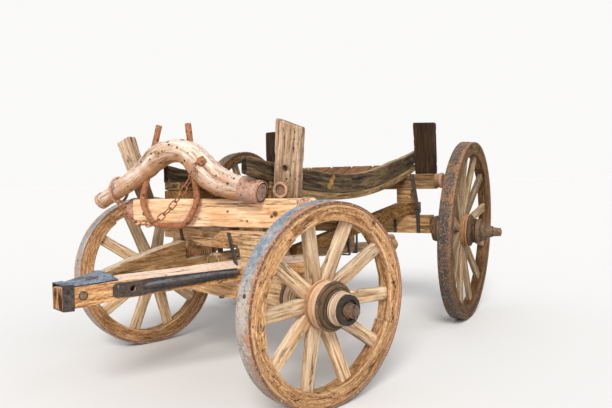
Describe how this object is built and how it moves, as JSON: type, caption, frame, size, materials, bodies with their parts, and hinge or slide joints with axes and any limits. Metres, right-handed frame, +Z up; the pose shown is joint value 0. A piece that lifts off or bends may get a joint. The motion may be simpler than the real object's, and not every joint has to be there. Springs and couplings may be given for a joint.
{
  "type": "hay wagon",
  "caption": "Old timber farm wagon with iron-tyred spoked wheels, a steering fore-carriage with a V drawbar, a bed of bent boards between stakes, and an ox yoke with bow and chain",
  "frame": {"origin": "on the ground under the middle of the whole wagon", "axes": "+X forward along the reach pole to the drawbar, +Y to the wagon's left, +Z up from the ground"},
  "size_m": [3.045, 2.021, 1.22],
  "materials": {
    "honey_wood": "old planed beam, orange brown, checked along the grain",
    "grey_wood": "weathered grey brown board",
    "brown_wood": "dark brown weathered beam",
    "bed_wood": "dark bent boards",
    "yoke_wood": "pale peeled branch with worm tracks",
    "felloe_wood": "dry brown wood with cracks",
    "spoke_wood": "pale dry wood",
    "nave_wood": "dark turned hub wood",
    "tyre_iron": "worn bluish iron tyre with rusty edges",
    "rusty_iron": "rusty wrought iron",
    "black_iron": "dark forged iron"
  },
  "bodies": {
    "chassis": {"bed_packing": "brown_wood", "bed_staves": "bed_wood", "bolster_ferrules": "rusty_iron", "front_bolster": "honey_wood", "front_stakes": "grey_wood", "king_pin": "black_iron", "reach_pole": "brown_wood", "rear_axle_bed": "brown_wood", "rear_axle_irons": "black_iron", "rear_blocks": "brown_wood", "rear_bolster": "brown_wood", "rear_clips": "black_iron", "rear_hound_left": "brown_wood", "rear_hound_right": "brown_wood", "rear_stakes": "brown_wood", "side_board_left": "grey_wood", "side_board_right": "grey_wood", "yoke_beam": "yoke_wood", "yoke_bow": "rusty_iron", "yoke_chain": "rusty_iron", "yoke_irons": "rusty_iron"},
    "fore_carriage": {"carriage_clips": "black_iron", "carriage_posts": "honey_wood", "drawbar_arm_left": "honey_wood", "drawbar_arm_right": "honey_wood", "drawbar_nose_irons": "black_iron", "drawbar_straps": "black_iron", "front_axle_bed": "honey_wood", "front_axle_irons": "black_iron", "sand_board": "honey_wood", "sway_bar": "honey_wood"},
    "front_left_wheel": {"front_left_felloes": "felloe_wood", "front_left_nave": "nave_wood", "front_left_nave_irons": "rusty_iron", "front_left_spokes": "spoke_wood", "front_left_tyre": "tyre_iron"},
    "front_right_wheel": {"front_right_felloes": "felloe_wood", "front_right_nave": "nave_wood", "front_right_nave_irons": "rusty_iron", "front_right_spokes": "spoke_wood", "front_right_tyre": "tyre_iron"},
    "rear_left_wheel": {"rear_left_felloes": "felloe_wood", "rear_left_nave": "nave_wood", "rear_left_nave_irons": "rusty_iron", "rear_left_spokes": "spoke_wood", "rear_left_tyre": "tyre_iron"},
    "rear_right_wheel": {"rear_right_felloes": "felloe_wood", "rear_right_nave": "nave_wood", "rear_right_nave_irons": "rusty_iron", "rear_right_spokes": "spoke_wood", "rear_right_tyre": "tyre_iron"}
  },
  "joints": [
    {"name": "steer", "type": "hinge", "parent": "chassis", "child": "fore_carriage", "pos_m": [0.79732, 0, 0.6], "axis": [0, 0, 1], "range_deg": [-11.3, 52.7]},
    {"name": "front_left_roll", "type": "hinge", "parent": "fore_carriage", "child": "front_left_wheel", "pos_m": [1.05041, 0.66978, 0.39968], "axis": [0.3532, 0.9347, -0.0401], "continuous": true},
    {"name": "front_right_roll", "type": "hinge", "parent": "fore_carriage", "child": "front_right_wheel", "pos_m": [0.54424, -0.66978, 0.39968], "axis": [0.3532, 0.9347, 0.0401], "continuous": true},
    {"name": "rear_left_roll", "type": "hinge", "parent": "chassis", "child": "rear_left_wheel", "pos_m": [-0.67368, 0.806, 0.54156], "axis": [0, 0.9992, -0.0401], "continuous": true},
    {"name": "rear_right_roll", "type": "hinge", "parent": "chassis", "child": "rear_right_wheel", "pos_m": [-0.67368, -0.806, 0.54156], "axis": [0, 0.9992, 0.0401], "continuous": true}
  ]
}
